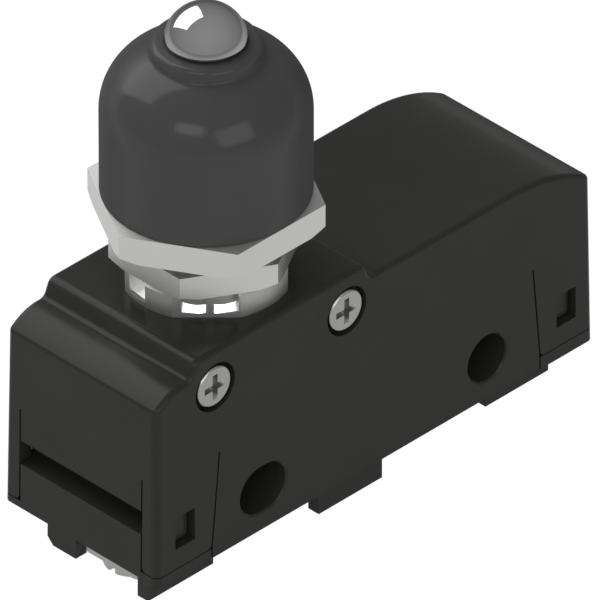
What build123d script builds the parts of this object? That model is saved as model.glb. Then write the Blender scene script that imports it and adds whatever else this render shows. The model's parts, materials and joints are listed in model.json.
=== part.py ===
from build123d import *
from math import atan2, cos, degrees, radians, sin, sqrt, tan
import os

# Snap-action micro switch with a sealed, panel-mounted plunger, in millimetres
# X runs along the housing, Z is up, and the screw heads are on the -Y face
# The origin is under the middle of the housing, at the sole of the middle foot

# Cutters run past what they cut, and edges are picked within this of their place
overrun = 1.0
nearby = 0.3

# Housing envelope
housing_length = 49.7
housing_depth = 17.4
draft_deg = 0.8
corner_radius = 0.6
edge_radius = 0.45
side_wall = 0.92
end_wall = 1.4
roof_wall = 1.1
fit_gap = 0.03

# Roof line, seen from the screw side
plunger_inset = 14.31
platform_z = 22.58
platform_half = 9.55
step_angle_deg = 69.0
step_foot_radius = 0.6
step_top_radius = 0.9
crown_z = 21.0
left_end_z = 19.36
rear_roof_z = 21.1
rear_arc_inset = 8.95
right_end_z = 18.3

# Lower edges, spring flaps and their slits
wall_bottom_z = 2.77
underside_z = 3.04
flap_bottom_z = 3.78
flap_top_z = 12.65
slit_width = 0.17
seam_width = 0.1
flap_corner_radius = 0.5
left_slit_foot_inset = 6.28
left_slit_top_inset = 7.27
right_slit_foot_inset = 6.14
right_slit_top_inset = 6.87
end_slit_inset = 1.8
end_slot_bottom_z = 7.33
end_slot_top_z = 9.6
end_slot_depth = 2.2

# Windows in the flaps and the lugs that snap into them
left_window_inset = 3.31
right_window_inset = 3.13
window_width = 2.2
window_z = 7.14
window_height = 3.02
lug_width = 1.6
lug_height = 2.4
lug_recess = 0.62
lug_radius = 0.4

# Guard feet along the screw side, and the tab at the left end
foot_root = 0.5
foot_thickness = 1.19
outer_foot_z = 1.23
right_foot_z = 1.0
right_strip_z = 2.53
left_foot_length = 7.35
middle_foot_x = -1.98
foot_length = 7.2
right_foot_inset = 7.82
tab_gap = 0.2
tab_width = 3.23
tab_thickness = 1.23
tab_chamfer = 0.65

# Mounting holes through the housing
hole_radius = 2.15
hole_z = 6.6
hole_pitch = 25.4
slot_stretch = 0.8
hole_chamfer = 0.15

# Head screws that hold the bush
head_screw_offset = 7.4
head_screw_z = 19.1
head_screw_radius = 1.1
head_screw_clearance = 0.1
head_radius = 1.87
head_thickness = 0.9
head_edge_bevel = 0.2
head_recess = 0.03
counterbore_radius = 2.2
screw_boss_radius = 2.7
lug_half_depth = 5.6
screw_end_y = 7.2
cross_width = 0.62
cross_length = 2.5
cross_depth = 0.55

# Bush: lug plate, flange, collar and threaded barrel
bush_bottom_z = 16.9
bush_lug_radius = 2.0
flange_gap = 0.23
collar_radius = 7.05
collar_flats = 13.0
collar_top_z = 24.93
collar_gap = 0.05
collar_front_deg = 225.0
notch_offsets = (-1.0, 1.6)
notch_width = 1.9
notch_rise = 0.35
notch_slope_deg = 32.0
notch_core_radius = 6.15
thread_radius = 5.67
bush_top_z = 33.4
stem_radius = 2.75
running_gap = 0.03
chamber_radius = 4.5
edge_break = 0.3

# Nuts
lower_nut_flats = 14.0
lower_nut_thickness = 2.26
panel_nut_flats = 17.0
panel_nut_bottom_z = 28.24
panel_nut_thickness = 2.51
nut_corner_drop = 0.4

# Gaiter
skirt_overhang = 0.06
gaiter_wall = 1.2
gaiter_foot = 1.45
gaiter_shoulder_z = 38.3
shoulder_radius = 5.6
lip_radius = 4.55
lip_top_z = 44.9
lip_round = 0.5
lip_draft = 0.08
lip_bore_gap = 0.05

# Plunger
stroke = 5.0
dome_radius = 3.44
rim_radius = 3.39
rim_z = 45.28
rim_band = 0.17
seat_flange_radius = 3.7
seat_flange_z = 41.6
seat_flange_thickness = 0.8
stop_gap = 0.3
stem_bore_radius = 1.6
stem_bore_top_z = 34.0
ring_lift = 0.2
ring_thickness = 0.5
ring_radius = 3.9
ring_groove_radius = 2.4
ring_opening = 2.6

# Springs
return_wire = 0.5
return_mean_radius = 3.3
return_turns = 4.5
overtravel_wire = 0.4
overtravel_mean_radius = 1.2
overtravel_turns = 5.0
wire_sides = 6
spring_end_gap = 0.02

# Actuator button
button_travel = 0.6
button_pin_gap = 0.05
button_pin_top_z = 25.0
button_disc_gap = 0.1
button_disc_thickness = 1.3
button_nose_radius = 1.5
contact_gap = 0.05

# Snap blade and contacts
blade_z = 14.0
blade_thickness = 0.2
blade_width = 4.4
blade_reach = 7.0
blade_tail = 1.6
blade_tip_x = 5.2
contact_x = 3.5
rivet_radius = 1.4
rivet_head = 0.6
rivet_shank_radius = 0.8
window_start_x = -7.0
window_end_x = 1.0
blade_window_width = 2.2
bow_width = 1.5
bow_thickness = 0.15
bow_rise = 1.9

# Base block, its posts and the brass terminals
core_top_z = 10.4
strip_thickness = 0.8
strip_width = 5.0
pad_thickness = 1.0
pad_length = 5.0
common_leg_inset = 5.95
knife_edge_gap = 0.05
anchor_x = -6.2
anchor_width = 1.8
anchor_top_z = 12.8
open_leg_x = 1.0
open_shelf_z = 10.8
open_contact_gap = 0.1
closed_leg_inset = 5.75
closed_shelf_z = 15.8
shelf_overhang = 2.2
fixed_contact_radius = 1.5
post_width = 6.0
closed_post_inset = 7.35
closed_post_length = 8.0
common_post_inset = 3.35
pad_end_gap = 0.1
pad_edge_gap = 0.05

# Terminal screws and clamp plates
common_screw_inset = 2.9
screw_offset_y = 0.05
terminal_head_radius = 2.35
terminal_head_height = 1.0
terminal_head_bevel = 0.3
terminal_screw_radius = 1.5
terminal_screw_top_z = 6.8
terminal_turn_deg = 35.0
driver_slot_width = 0.86
driver_slot_depth = 0.75
clamp_length = 5.0
clamp_width = 6.6
clamp_edge_gap = 0.21
clamp_thickness = 0.81
clamp_radius = 0.8

# Sizes worked out from the ones above
draft_slope = tan(radians(draft_deg))
end_x = housing_length / 2
face_y = housing_depth / 2
core_end_x = end_x - end_wall - fit_gap
foot_y = face_y - side_wall - fit_gap - draft_slope * (underside_z + foot_root)
plunger_x = plunger_inset - end_x
blade_pivot_x = plunger_x - blade_reach
end_slit_y = face_y - end_slit_inset
left_slit_foot_x = left_slit_foot_inset - end_x
left_slit_top_x = left_slit_top_inset - end_x
right_slit_foot_x = end_x - right_slit_foot_inset
right_slit_top_x = end_x - right_slit_top_inset
left_window_x = left_window_inset - end_x
right_window_x = end_x - right_window_inset
left_foot_end_x = left_foot_length - end_x
right_foot_x = end_x - right_foot_inset
rear_arc_x = end_x - rear_arc_inset
common_screw_x = common_screw_inset - end_x
common_leg_x = common_leg_inset - end_x
common_post_x = common_post_inset - end_x
closed_leg_x = end_x - closed_leg_inset
closed_post_end_x = end_x - closed_post_inset
closed_post_start_x = closed_post_end_x - closed_post_length
clamp_y = clamp_edge_gap + clamp_width / 2 - foot_y + foot_thickness
terminal_screw_y = clamp_y + screw_offset_y
pad_edge_y = clamp_y - clamp_width / 2 + pad_edge_gap
tab_low_y = clamp_y + clamp_width / 2 + tab_gap
gaiter_radius = panel_nut_flats / 2 + skirt_overhang
terminal_xs = {"common": common_screw_x, "open": middle_foot_x, "closed": right_foot_x}
screw_xs = {"left": plunger_x - head_screw_offset, "right": plunger_x + head_screw_offset}
roof_inner_z = platform_z - roof_wall
flange_radius = face_y - draft_slope * roof_inner_z - side_wall - flange_gap
blade_top_z = blade_z + blade_thickness
button_top_z = bush_bottom_z + button_disc_thickness
stem_end_z = button_top_z - button_travel + stroke + stop_gap
ring_z = stem_end_z + ring_lift
chamber_top_z = ring_z + ring_thickness + contact_gap
blade_tilt = button_travel / blade_reach
contact_drop = blade_tilt * (contact_x + rivet_radius - blade_pivot_x)
open_contact_z = blade_z - rivet_head - contact_drop - open_contact_gap
tall = 2 * platform_z
reach = 2 * housing_length


def block(x0, x1, y0, y1, z0, z1):
    """Box between two corners."""
    box = Box(x1 - x0, y1 - y0, z1 - z0)
    return Pos((x0 + x1) / 2, (y0 + y1) / 2, (z0 + z1) / 2) * box


def face_at(z):
    """Distance of the drafted long face from the middle at height z."""
    return face_y - draft_slope * z


def y_cylinder(x, z, radius, y0, y1):
    """Cylinder along Y between y0 and y1."""
    rod = Cylinder(radius, y1 - y0, rotation=(90, 0, 0))
    return Pos(x, (y0 + y1) / 2, z) * rod


def z_cylinder(x, y, radius, z0, z1):
    """Upright cylinder between z0 and z1."""
    return Pos(x, y, (z0 + z1) / 2) * Cylinder(radius, z1 - z0)


def side_plate(points, y0, y1):
    """Outline in XZ, closed and given depth along Y."""
    outline = Plane.XZ * make_face(Polyline(*points, close=True))
    return Pos(0, y1, 0) * extrude(outline, y1 - y0)


def drafted_block(inset_x, inset_y, height):
    """The housing's drafted envelope, or the same form set inwards."""
    foot = Rectangle(housing_length - 2 * inset_x, housing_depth - 2 * inset_y)
    return extrude(foot, height, taper=draft_deg)


def end_arc(flat_x, flat_z, edge_x, edge_z, inset):
    """Arc from the flat roof down to the end wall, tangent to the roof, set inwards."""
    run = abs(edge_x - flat_x)
    drop = flat_z - edge_z
    centre_z = flat_z - (run**2 + drop**2) / (2 * drop)
    radius = flat_z - centre_z - inset
    side = 1 if edge_x > flat_x else -1

    def point(share):
        x = share * (run - inset)
        return (flat_x + side * x, centre_z + sqrt(radius**2 - x**2))

    return ThreePointArc(point(0), point(0.5), point(1))


def roof_face(inset):
    """Region under the roof line, or under its inner surface."""
    shift = inset * tan(radians(step_angle_deg / 2))
    step_run = (platform_z - crown_z) / tan(radians(step_angle_deg))
    left_edge = plunger_x - platform_half + shift
    right_edge = plunger_x + platform_half - shift
    left_foot = left_edge - step_run
    right_foot = right_edge + step_run
    crown_x = plunger_x - platform_half - step_run - step_foot_radius
    crown = end_arc(crown_x, crown_z, -end_x, left_end_z, inset)
    rear = end_arc(rear_arc_x, rear_roof_z, end_x, right_end_z, inset)
    left_z = (crown @ 1).Y
    right_z = (rear @ 1).Y
    outline = Curve() + [
        crown,
        Polyline(
            crown @ 0,
            (left_foot, crown_z - inset),
            (left_edge, platform_z - inset),
            (right_edge, platform_z - inset),
            (right_foot, rear_roof_z - inset),
            rear @ 0,
        ),
        rear,
        Polyline(rear @ 1, (reach, right_z), (reach, 0), (-reach, 0), (-reach, left_z), crown @ 1),
    ]
    region = make_face(outline)
    if inset == 0:
        region = round_points(region, [(left_foot, crown_z), (right_foot, rear_roof_z)], step_foot_radius)
        region = round_points(region, [(left_edge, platform_z), (right_edge, platform_z)], step_top_radius)
    return region


def round_points(region, points, radius):
    """Round the corners of a flat region that lie at the given points."""
    picked = []
    for x, y in points:
        picked.append(min(region.vertices(), key=lambda v: (v.X - x) ** 2 + (v.Y - y) ** 2))
    return fillet(picked, radius)


def under_roof(inset_x, inset_y, inset_roof):
    """Drafted block cut to the roof line."""
    roof = extrude(Plane.XZ * roof_face(inset_roof), housing_depth, both=True)
    return drafted_block(inset_x, inset_y, tall) & roof


def on_rim(edge):
    """Whether an edge runs round the roof, over the long faces or the ends."""
    c = edge.center()
    over_side = abs(abs(c.Y) - face_at(c.Z)) < nearby
    over_end = abs(c.X) > end_x - end_wall
    upright = edge.bounding_box().size.Z > end_slot_top_z
    return c.Z > flap_bottom_z and not upright and (over_side or over_end)


def outer_form():
    """Whole outside of the housing, with its edges rounded."""
    sides = drafted_block(0, 0, tall)
    sides = fillet(sides.edges().filter_by(lambda e: e.bounding_box().size.Z > platform_z), corner_radius)
    roof = extrude(Plane.XZ * roof_face(0), housing_depth, both=True)
    form = sides & roof
    return fillet(form.edges().filter_by(on_rim), edge_radius)


def collar_outline(gap, z0, z1):
    """Round collar with four flats that face the diagonals."""
    flats = 2 * gap + collar_flats
    square = Box(flats, flats, z1 - z0, rotation=(0, 0, 45))
    ring = Cylinder(collar_radius + gap, z1 - z0) & square
    return Pos(plunger_x, 0, (z0 + z1) / 2) * ring


def mounting_hole(sign, radius):
    """Bore through the whole depth: round on the right, a slot on the left."""
    x = sign * hole_pitch / 2
    if sign > 0:
        return y_cylinder(x, hole_z, radius, -face_y, face_y)
    slot = y_cylinder(x, hole_z, radius, -face_y, face_y)
    for side in (-0.5, 0.5):
        slot += y_cylinder(x + side * slot_stretch, hole_z, radius, -face_y, face_y)
    half = slot_stretch / 2
    slot += block(x - half, x + half, -face_y, face_y, hole_z - radius, hole_z + radius)
    return slot


def slit(foot_x, top_x):
    """Slanted slit through both long walls."""
    half = slit_width / 2
    points = [
        (foot_x - half, flap_bottom_z),
        (foot_x + half, flap_bottom_z),
        (top_x + half, flap_top_z),
        (top_x - half, flap_top_z),
    ]
    return side_plate(points, -face_y, face_y)


def soften_flap_corners(cover):
    """Round the lower inner corners of the four flaps."""
    picked = []
    for edge in cover.edges():
        c = edge.center()
        if abs(c.Z - flap_bottom_z) > nearby:
            continue
        size = edge.bounding_box().size
        along_y = size.Y > size.X + size.Z and abs(c.Y) > end_slit_y
        along_x = size.X > size.Y + size.Z and abs(c.X) > end_x - end_wall
        near_long_slit = min(abs(c.X - left_slit_foot_x), abs(c.X - right_slit_foot_x)) < nearby
        near_end_slit = abs(abs(c.Y) - end_slit_y) < nearby
        if (along_y and near_long_slit) or (along_x and near_end_slit):
            picked.append(edge)
    return fillet(picked, flap_corner_radius)


def at_hole_mouth(edge):
    """Whether an edge is the outer rim of a mounting hole on a long face."""
    c = edge.center()
    box = edge.bounding_box()
    low = box.min.Z > hole_z - hole_radius - nearby
    high = box.max.Z < hole_z + hole_radius + nearby
    outside = abs(c.Y) > face_at(hole_z) - side_wall / 2
    beside = abs(abs(c.X) - hole_pitch / 2) < hole_radius + slot_stretch
    return low and high and outside and beside


def upper_housing():
    """Cover with the platform, screw bosses and four spring flaps."""
    cover = outer_form() - under_roof(end_wall, side_wall, roof_wall)
    for x in screw_xs.values():
        for side in (-1, 1):
            near = side * lug_half_depth
            far = side * (face_at(head_screw_z) - side_wall / 2)
            cover += y_cylinder(x, head_screw_z, screw_boss_radius, min(near, far), max(near, far))
    cover -= block(-reach, reach, -reach, reach, 0, wall_bottom_z)
    half = slit_width / 2
    cover -= block(-reach, left_slit_foot_x + half, -reach, reach, 0, flap_bottom_z)
    cover -= block(right_slit_foot_x - half, reach, -reach, reach, 0, flap_bottom_z)
    for side in (-1, 1):
        inner = side * (core_end_x - overrun)
        outer = side * reach
        cover -= block(min(inner, outer), max(inner, outer), -end_slit_y, end_slit_y, 0, end_slot_top_z)
        edge = side * end_slit_y
        cover -= block(-reach, reach, edge - half, edge + half, 0, flap_top_z)
        cover -= mounting_hole(side, hole_radius)
    cover -= slit(left_slit_foot_x, left_slit_top_x)
    cover -= slit(right_slit_foot_x, right_slit_top_x)
    cover = soften_flap_corners(cover)
    for x in (left_window_x, right_window_x):
        low = window_z - window_height / 2
        half = window_width / 2
        cover -= block(x - half, x + half, -face_y, face_y, low, low + window_height)
    seat_y = face_at(head_screw_z) - head_recess - head_thickness
    for x in screw_xs.values():
        cover -= y_cylinder(x, head_screw_z, counterbore_radius, -face_y, -seat_y)
        cover -= y_cylinder(x, head_screw_z, head_screw_radius + head_screw_clearance, -face_y, 0)
        cover -= y_cylinder(x, head_screw_z, head_screw_radius, 0, screw_end_y)
    cover -= collar_outline(collar_gap, roof_inner_z - overrun, platform_z + overrun)
    return chamfer(cover.edges().filter_by(at_hole_mouth), hole_chamfer)


def foot(x0, x1, bottom_z):
    """Guard foot, flush with the screw side of the base's core."""
    return block(x0, x1, -foot_y, foot_thickness - foot_y, bottom_z, underside_z + foot_root)


def lug(x, side):
    """Snap lug with rounded corners on the base's side."""
    plate = Plane.XZ * RectangleRounded(lug_width, lug_height, lug_radius)
    depth = side_wall + fit_gap - lug_recess + overrun
    solid = Pos(x, 0, window_z) * extrude(plate, depth / 2, both=True)
    y = face_at(window_z) - lug_recess - depth / 2
    return Pos(0, side * y, 0) * solid


def terminal_base():
    """Lower moulding: bored block, end walls, corner strips, guard feet and posts."""
    core = drafted_block(end_wall + fit_gap, side_wall + fit_gap, core_top_z)
    core &= block(-reach, reach, -reach, reach, underside_z, core_top_z)
    slot_x = end_x - end_slot_depth
    for side in (-1, 1):
        inner = side * slot_x
        outer = side * reach
        core -= block(min(inner, outer), max(inner, outer), -reach, reach, end_slot_bottom_z, reach)
    envelope = drafted_block(0, 0, core_top_z)
    upright = envelope.edges().filter_by(lambda e: e.bounding_box().size.Z > core_top_z / 2)
    envelope = fillet(upright, corner_radius)
    strip_top = flap_bottom_z - seam_width
    wall_y = end_slit_y - slit_width / 2
    base = core
    for side in (-1, 1):
        slit_x = (right_slit_foot_x if side > 0 else -left_slit_foot_x) + slit_width / 2
        near = side * slit_x
        far = side * reach
        low = right_strip_z if side > 0 else wall_bottom_z
        strip = block(min(near, far), max(near, far), -reach, reach, low, strip_top)
        strip -= block(-reach, reach, -wall_y, reach, 0, underside_z)
        near = side * (core_end_x - overrun)
        wall = block(min(near, far), max(near, far), -wall_y, wall_y, underside_z, end_slot_bottom_z)
        base += envelope & strip
        base += envelope & wall
        for face in (-1, 1):
            x = right_window_x if side > 0 else left_window_x
            base += lug(x, face)
    base += envelope & foot(-end_x, left_foot_end_x, outer_foot_z)
    base += foot(middle_foot_x - foot_length / 2, middle_foot_x + foot_length / 2, 0)
    base += foot(right_foot_x - foot_length / 2, right_foot_x + foot_length / 2, right_foot_z)
    root_z = underside_z + foot_root
    tab = block(-end_x, tab_thickness - end_x, tab_low_y, tab_low_y + tab_width, outer_foot_z, root_z)
    tab = envelope & tab
    corner = tab.edges().filter_by(Axis.X).sort_by(lambda e: e.center().Z - e.center().Y)[0]
    base += chamfer(corner, tab_chamfer)
    half = post_width / 2
    base += block(closed_post_start_x, closed_post_end_x, -half, half, underside_z, closed_shelf_z)
    leg_side = common_leg_x - strip_thickness / 2
    knife_top = blade_z - knife_edge_gap
    base += block(common_post_x, leg_side, -half, half, underside_z, knife_top - strip_thickness)
    for side in (-1, 1):
        base -= mounting_hole(side, hole_radius)
    for x in terminal_xs.values():
        base -= z_cylinder(x, terminal_screw_y, terminal_screw_radius, 0, terminal_screw_top_z)
    for strip in (common_terminal(), open_terminal(), closed_terminal()):
        base -= strip
    return base


def pad(x):
    """Terminal pad, flush with the base's underside and kept inside its end."""
    left = max(x - pad_length / 2, pad_end_gap - core_end_x)
    top = underside_z + pad_thickness
    return block(left, x + pad_length / 2, pad_edge_y, strip_width / 2, underside_z, top)


def screw_hole(x):
    """Clearance for a terminal screw's shank."""
    return z_cylinder(x, terminal_screw_y, terminal_screw_radius, 0, terminal_screw_top_z)


def strip_run(x0, x1, z0, z1, width):
    """Flat stretch of a brass strip, centred on the middle plane."""
    return block(x0, x1, -width / 2, width / 2, z0, z1)


def common_terminal():
    """Pad, leg, knife edge for the blade and anchor for the bow spring."""
    half = strip_thickness / 2
    knife_top = blade_z - knife_edge_gap
    left = common_leg_x - half
    strip = pad(common_screw_x)
    strip += strip_run(common_screw_x, left, underside_z, underside_z + pad_thickness, strip_width)
    strip += strip_run(left, left + strip_thickness, underside_z, knife_top, strip_width)
    strip += strip_run(left, blade_pivot_x, knife_top - strip_thickness, knife_top, strip_width)
    arm_top = core_top_z + strip_thickness
    strip += strip_run(left, anchor_x + half, core_top_z, arm_top, anchor_width)
    strip += strip_run(anchor_x - half, anchor_x + half, core_top_z, anchor_top_z, anchor_width)
    return strip - screw_hole(common_screw_x)


def open_terminal():
    """Pad, leg and low shelf of the normally open side."""
    half = strip_thickness / 2
    strip = pad(middle_foot_x)
    right = open_leg_x + half
    strip += strip_run(middle_foot_x, right, underside_z, underside_z + pad_thickness, strip_width)
    strip += strip_run(right - strip_thickness, right, underside_z, open_shelf_z, strip_width)
    shelf_end = contact_x + shelf_overhang
    shelf_low = open_shelf_z - strip_thickness
    strip += strip_run(right - strip_thickness, shelf_end, shelf_low, open_shelf_z, strip_width)
    return strip - screw_hole(middle_foot_x)


def closed_terminal():
    """Pad, tall leg and high shelf of the normally closed side."""
    half = strip_thickness / 2
    top = closed_shelf_z + strip_thickness
    strip = pad(right_foot_x)
    strip += strip_run(closed_leg_x - half, closed_leg_x + half, underside_z, top, strip_width)
    strip += strip_run(contact_x - shelf_overhang, closed_leg_x + half, closed_shelf_z, top, strip_width)
    return strip - screw_hole(right_foot_x)


def open_contact():
    """Fixed contact that the blade meets when the plunger is pressed."""
    return z_cylinder(contact_x, 0, fixed_contact_radius, open_shelf_z, open_contact_z)


def closed_contact():
    """Fixed contact that the blade rests under."""
    low = blade_top_z + rivet_head + contact_gap
    return z_cylinder(contact_x, 0, fixed_contact_radius, low, closed_shelf_z)


def snap_blade():
    """Spring-copper leaf with a window for the bow spring."""
    half = blade_width / 2
    leaf = block(blade_pivot_x - blade_tail, blade_tip_x, -half, half, blade_z, blade_top_z)
    gap = blade_window_width / 2
    leaf -= block(window_start_x, window_end_x, -gap, gap, blade_z, blade_top_z)
    leaf -= z_cylinder(contact_x, 0, rivet_shank_radius, blade_z, blade_top_z)
    return leaf


def moving_contact():
    """Silver rivet with a head on each face of the blade."""
    low = z_cylinder(contact_x, 0, rivet_radius, blade_z - rivet_head, blade_z)
    high = z_cylinder(contact_x, 0, rivet_radius, blade_top_z, blade_top_z + rivet_head)
    return low + high + z_cylinder(contact_x, 0, rivet_shank_radius, blade_z, blade_top_z)


def bow_spring():
    """Curved strip between the anchor and the blade's window."""
    start = (anchor_x + strip_thickness / 2 + bow_thickness, anchor_top_z - strip_thickness / 2)
    end = (window_end_x - bow_thickness, blade_z + blade_thickness / 2)
    middle = ((start[0] + end[0]) / 2, end[1] + bow_rise)
    strip = trace(ThreePointArc(start, middle, end), bow_thickness)
    return extrude(Plane.XZ * strip, bow_width / 2, both=True)


def actuator_button():
    """Pin that slides in the plunger, disc that slides in the bush, and nose."""
    pin = z_cylinder(plunger_x, 0, stem_bore_radius - button_pin_gap, bush_bottom_z, button_pin_top_z)
    disc = z_cylinder(plunger_x, 0, chamber_radius - button_disc_gap, bush_bottom_z, button_top_z)
    nose = z_cylinder(plunger_x, 0, button_nose_radius, blade_top_z + contact_gap, bush_bottom_z)
    nose = chamfer(nose.edges().group_by(Axis.Z)[0], button_nose_radius / 2)
    return pin + disc + nose


def plunger():
    """Domed tip, groove for the gaiter's lip, spring seat and hollow stem."""
    centre_z = rim_z - sqrt(dome_radius**2 - rim_radius**2)
    seat_top = seat_flange_z + seat_flange_thickness
    profile = Curve() + [
        Polyline(
            (0, stem_bore_top_z),
            (stem_bore_radius, stem_bore_top_z),
            (stem_bore_radius, stem_end_z),
            (stem_radius, stem_end_z),
            (stem_radius, ring_z),
            (ring_groove_radius, ring_z),
            (ring_groove_radius, ring_z + ring_thickness),
            (stem_radius, ring_z + ring_thickness),
            (stem_radius, seat_flange_z),
            (seat_flange_radius, seat_flange_z),
            (seat_flange_radius, seat_top),
            (stem_radius, seat_top),
            (stem_radius, rim_z - rim_band),
            (rim_radius, rim_z - rim_band),
            (rim_radius, rim_z),
        ),
        ThreePointArc(
            (rim_radius, rim_z),
            (dome_radius * sin(radians(45)), centre_z + dome_radius * cos(radians(45))),
            (0, centre_z + dome_radius),
        ),
        Line((0, centre_z + dome_radius), (0, stem_bore_top_z)),
    ]
    return turned(profile)


def turned(profile):
    """Turn an (r, z) outline about the plunger's axis."""
    return Pos(plunger_x, 0, 0) * revolve(Plane.XZ * make_face(profile), Axis.Z)


def retaining_ring():
    """Open ring in the stem's groove, under the bush's inner shoulder."""
    ring = z_cylinder(plunger_x, 0, ring_radius, ring_z, ring_z + ring_thickness)
    ring -= z_cylinder(plunger_x, 0, ring_groove_radius, 0, reach)
    gap = ring_opening / 2
    return ring - block(plunger_x - gap, plunger_x + gap, 0, reach, 0, reach)


def coil(mean_radius, wire, turns, low, high):
    """Open-coiled compression spring between two seats, its wire drawn with flat sides."""
    start = low + wire / 2 + spring_end_gap
    height = high - low - wire - 2 * spring_end_gap
    path = Helix(pitch=height / turns, height=height, radius=mean_radius)
    section = (path ^ 0) * RegularPolygon(wire / 2, wire_sides)
    return Pos(plunger_x, 0, start) * sweep(section, path=path, is_frenet=True)


def collar_notch(offset):
    """Notch in the collar's front flat, its floor sloped up to a round core."""
    flat = collar_flats / 2
    low = platform_z + notch_rise
    high = collar_top_z + overrun
    depth = (high - low) * tan(radians(notch_slope_deg))
    profile = Polyline(
        (flat, low), (flat - depth, high), (flat + overrun, high), (flat + overrun, low), close=True
    )
    cutter = extrude(Plane.XZ * make_face(profile), notch_width / 2, both=True)
    turn = Rot(0, 0, degrees(atan2(offset, flat)))
    cutter = turn * cutter - z_cylinder(0, 0, notch_core_radius, 0, tall)
    return Pos(plunger_x, 0, 0) * Rot(0, 0, collar_front_deg) * cutter


def plunger_bush():
    """Metal head: lug plate for the screws, flange, collar and barrel."""
    low = head_screw_z - bush_lug_radius
    high = head_screw_z + bush_lug_radius
    bush = block(screw_xs["left"], screw_xs["right"], -lug_half_depth, lug_half_depth, low, high)
    for x in screw_xs.values():
        bush += y_cylinder(x, head_screw_z, bush_lug_radius, -lug_half_depth, lug_half_depth)
    bush += z_cylinder(plunger_x, 0, flange_radius, bush_bottom_z, roof_inner_z)
    collar = collar_outline(0, roof_inner_z, collar_top_z)
    collar = chamfer(collar.edges().group_by(Axis.Z)[-1], edge_break)
    for offset in notch_offsets:
        collar -= collar_notch(offset)
    bush += collar
    barrel = z_cylinder(plunger_x, 0, thread_radius, collar_top_z, bush_top_z)
    bush += chamfer(barrel.edges().group_by(Axis.Z)[-1], edge_break)
    bush -= z_cylinder(plunger_x, 0, stem_radius + running_gap, chamber_top_z, bush_top_z)
    bush -= z_cylinder(plunger_x, 0, chamber_radius, 0, chamber_top_z)
    for x in screw_xs.values():
        bush -= y_cylinder(x, head_screw_z, head_screw_radius + head_screw_clearance, -face_y, face_y)
    return bush


def hex_nut(flats, bottom, thickness, turn):
    """Thin hexagon with its lower corners turned off and a plain threaded hole."""
    corner = flats / sqrt(3)
    body = extrude(RegularPolygon(corner, 6, rotation=turn), thickness)
    face_radius = corner - nut_corner_drop * sqrt(3)
    far_radius = face_radius + thickness * sqrt(3)
    body &= Pos(0, 0, thickness / 2) * Cone(face_radius, far_radius, thickness)
    body -= z_cylinder(0, 0, thread_radius, 0, thickness)
    return Pos(plunger_x, 0, bottom) * body


def rubber_gaiter():
    """Boot that grips the barrel below and the plunger's groove above."""
    foot_z = panel_nut_bottom_z + panel_nut_thickness
    arc_r = gaiter_radius - shoulder_radius
    inner_arc = shoulder_radius - gaiter_wall
    lip_foot_z = gaiter_shoulder_z + sqrt(shoulder_radius**2 - (lip_radius - arc_r) ** 2)
    bore = stem_radius + lip_bore_gap
    lip_low = seat_flange_z + seat_flange_thickness + lip_bore_gap
    lip_in = arc_r + sqrt(inner_arc**2 - (lip_low - gaiter_shoulder_z) ** 2)
    mid = radians(45)
    rim = lip_radius - lip_draft
    inner = gaiter_radius - gaiter_wall
    profile = Curve() + [
        Polyline(
            (inner, foot_z + gaiter_foot),
            (thread_radius + running_gap, foot_z + gaiter_foot),
            (thread_radius + running_gap, foot_z),
            (gaiter_radius, foot_z),
            (gaiter_radius, gaiter_shoulder_z),
        ),
        ThreePointArc(
            (gaiter_radius, gaiter_shoulder_z),
            (arc_r + shoulder_radius * cos(mid), gaiter_shoulder_z + shoulder_radius * sin(mid)),
            (lip_radius, lip_foot_z),
        ),
        Polyline(
            (lip_radius, lip_foot_z),
            (rim, lip_top_z - lip_round),
            (rim - lip_round, lip_top_z),
            (bore + lip_round, lip_top_z),
            (bore, lip_top_z - lip_round),
            (bore, lip_low),
            (lip_in, lip_low),
        ),
        ThreePointArc(
            (lip_in, lip_low),
            (arc_r + inner_arc * cos(mid), gaiter_shoulder_z + inner_arc * sin(mid)),
            (inner, gaiter_shoulder_z),
        ),
        Line((inner, gaiter_shoulder_z), (inner, foot_z + gaiter_foot)),
    ]
    return turned(profile)


def head_screw(x):
    """Cross-recess screw through the cover, the bush's lug and into the far boss."""
    front = head_recess - face_at(head_screw_z)
    seat = front + head_thickness
    screw = y_cylinder(x, head_screw_z, head_radius, front, seat)
    screw = chamfer(screw.edges().sort_by(Axis.Y)[0], head_edge_bevel)
    screw += y_cylinder(x, head_screw_z, head_screw_radius, seat, screw_end_y)
    long = cross_length / 2
    wide = cross_width / 2
    for a, b in ((long, wide), (wide, long)):
        screw -= block(x - a, x + a, front, front + cross_depth, head_screw_z - b, head_screw_z + b)
    return screw


def terminal_screw(x, turn):
    """Slotted pan-head screw, head down, with its shank in the base."""
    clamp_low = underside_z - clamp_thickness
    low = clamp_low - terminal_head_height
    head = z_cylinder(0, 0, terminal_head_radius, low, clamp_low)
    head = chamfer(head.edges().group_by(Axis.Z)[0], terminal_head_bevel)
    cut = Box(3 * terminal_head_radius, driver_slot_width, 2 * driver_slot_depth, rotation=(0, 0, turn))
    head -= Pos(0, 0, low) * cut
    head += z_cylinder(0, 0, terminal_screw_radius, clamp_low, terminal_screw_top_z)
    return Pos(x, terminal_screw_y, 0) * head


def clamp_plate(x):
    """Rounded plate between a screw's head and its pad."""
    plate = extrude(RectangleRounded(clamp_length, clamp_width, clamp_radius), clamp_thickness)
    plate = Pos(x, clamp_y, underside_z - clamp_thickness) * plate
    return plate - screw_hole(x)


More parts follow.
